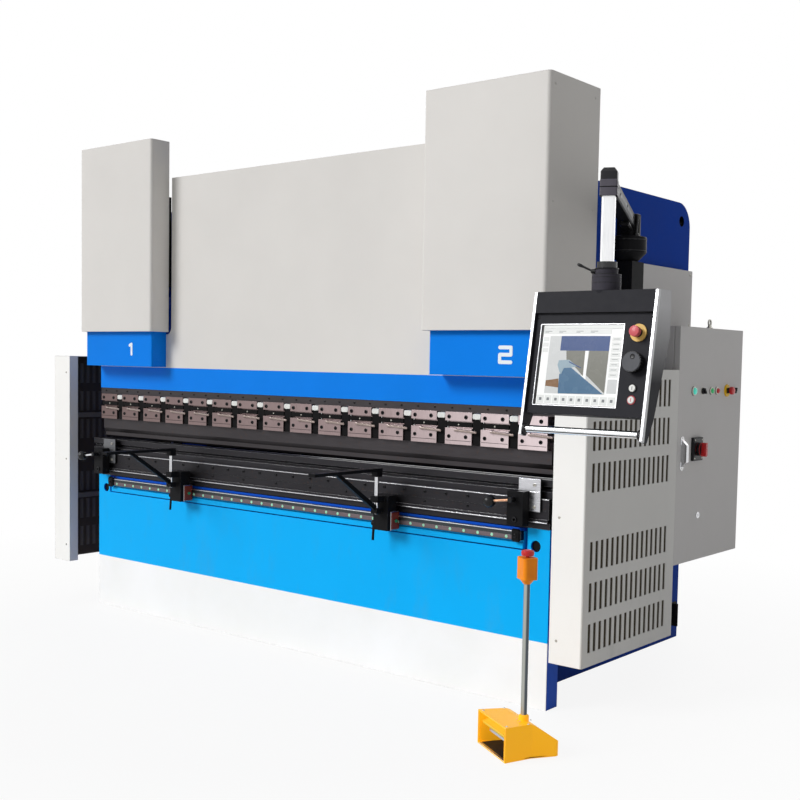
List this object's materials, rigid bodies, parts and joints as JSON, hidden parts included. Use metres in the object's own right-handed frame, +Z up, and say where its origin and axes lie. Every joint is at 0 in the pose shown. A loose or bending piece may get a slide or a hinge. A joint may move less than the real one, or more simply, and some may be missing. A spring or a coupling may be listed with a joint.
{
  "type": "hydraulic press brake",
  "caption": "Free-standing hydraulic press brake: sliding ram with quick clamps and punch over a V die, slotted side guards, swing-arm console, cabinet and foot pedal.",
  "frame": {"origin": "on the floor, under the middle of the bending line, on the bed plate's underside", "axes": "+X along the bending line to the operator's right, +Y from the operator into the machine, +Z up"},
  "size_m": [4.216, 2.3145, 2.689],
  "materials": {
    "ram_blue": "satin",
    "frame_blue": "satin",
    "bed_paint": "satin",
    "light_grey": "satin",
    "dark_steel": "blackened",
    "clamp_steel": "ground",
    "black_steel": "satin",
    "bright_steel": "bright",
    "chrome_rod": "polished",
    "aluminium_post": "anodised",
    "console_grey": "fine texture",
    "black_plastic": "matte",
    "red_plastic": "gloss",
    "yellow_plastic": "gloss",
    "pedal_orange": "gloss",
    "orange_plastic": "gloss",
    "tank_blue": "satin",
    "lamp_plastic": "gloss"
  },
  "bodies": {
    "machine": {"side_frame_right": "frame_blue", "side_frame_left": "frame_blue", "bed_plate": "bed_paint", "cross_beams": "frame_blue", "oil_tank": "tank_blue", "pump_motor": "black_steel", "cylinder_right": "black_steel", "cylinder_left": "black_steel", "cylinder_cover_right": "light_grey", "cylinder_cover_left": "light_grey", "ram_guides": "bright_steel", "die_holder": "dark_steel", "die": "dark_steel", "table_clamps": "black_steel", "rail_carrier": "bed_paint", "guide_rail": "bright_steel", "guard_right": "light_grey", "guard_left": "light_grey", "guard_brackets": "black_steel", "cabinet_box": "light_grey", "service_panel": "light_grey", "pendant_column": "black_steel", "back_gauge": "dark_steel", "pedal_housing": "pedal_orange", "pedal_post": "orange_plastic"},
    "ram": {"ram_plate": "ram_blue", "ram_box_right": "ram_blue", "ram_box_left": "ram_blue", "piston_rods": "chrome_rod", "tool_holder": "dark_steel", "tool_clamps": "clamp_steel", "punch": "dark_steel"},
    "support_left": {"support_carriage_left": "black_steel", "support_rod_left": "chrome_rod", "support_arm_left": "black_steel"},
    "support_right": {"support_carriage_right": "black_steel", "support_rod_right": "chrome_rod", "support_arm_right": "black_steel"},
    "lever_left": {"clamp_lever_left": "black_plastic"},
    "lever_right": {"clamp_lever_right": "black_plastic"},
    "door": {"cabinet_door": "light_grey", "door_handle": "bright_steel", "switch_base": "black_plastic", "cabinet_controls": "lamp_plastic"},
    "switch_knob": {"main_switch": "red_plastic"},
    "arm": {"pendant_arm": "black_plastic", "pendant_post": "aluminium_post"},
    "console": {"pendant_console": "console_grey", "pendant_handle": "aluminium_post", "pendant_stop_ring": "yellow_plastic"},
    "dial": {"pendant_dial": "black_plastic"},
    "console_stop": {"pendant_stop": "red_plastic"},
    "pedal": {"foot_pedal": "black_steel"},
    "pedal_stop_button": {"pedal_stop": "red_plastic"}
  },
  "joints": [
    {"name": "ram_slide", "type": "slide", "parent": "machine", "child": "ram", "axis": [0, 0, 1], "range_m": [-0.006, 0.15]},
    {"name": "support_left_slide", "type": "slide", "parent": "machine", "child": "support_left", "axis": [1, 0, 0], "range_m": [-0.55, 0.52]},
    {"name": "support_right_slide", "type": "slide", "parent": "machine", "child": "support_right", "axis": [1, 0, 0], "range_m": [-0.55, 0.52]},
    {"name": "lever_left_turn", "type": "hinge", "parent": "machine", "child": "lever_left", "pos_m": [-1.506, -0.118, 0.912], "axis": [0, 1, 0], "range_deg": [-60, 60]},
    {"name": "lever_right_turn", "type": "hinge", "parent": "machine", "child": "lever_right", "pos_m": [1.465, -0.118, 0.912], "axis": [0, 1, 0], "range_deg": [-60, 60]},
    {"name": "door_swing", "type": "hinge", "parent": "machine", "child": "door", "pos_m": [1.758, 1.489, 1.1], "axis": [0, 0, 1], "range_deg": [0, 110]},
    {"name": "switch_turn", "type": "hinge", "parent": "door", "child": "switch_knob", "pos_m": [1.778, 0.964, 1.096], "axis": [1, 0, 0], "range_deg": [0, 90]},
    {"name": "arm_swing", "type": "hinge", "parent": "machine", "child": "arm", "pos_m": [1.61, 0.54, 1.97], "axis": [0, 0, 1], "range_deg": [-12, 55]},
    {"name": "console_swivel", "type": "hinge", "parent": "arm", "child": "console", "pos_m": [2.02, -0.363, 1.855], "axis": [0, 0, 1], "range_deg": [-60, 60]},
    {"name": "dial_turn", "type": "hinge", "parent": "console", "child": "dial", "pos_m": [2.198, -0.45789, 1.5014], "axis": [0, -0.9857, 0.1685], "continuous": true},
    {"name": "console_stop_push", "type": "slide", "parent": "console", "child": "console_stop", "axis": [0, 0.9857, -0.1685], "range_m": [0, 0.004], "stiffness_N_per_m": 400},
    {"name": "pedal_press", "type": "hinge", "parent": "machine", "child": "pedal", "pos_m": [1.834, -0.48246, 0.034], "axis": [0.866, -0.5, 0], "range_deg": [0, 8], "stiffness_Nm_per_rad": 15, "springref_deg": -11.46},
    {"name": "pedal_stop_push", "type": "slide", "parent": "machine", "child": "pedal_stop_button", "axis": [0, 0, -1], "range_m": [0, 0.003], "stiffness_N_per_m": 400, "springref_m": -0.01}
  ]
}
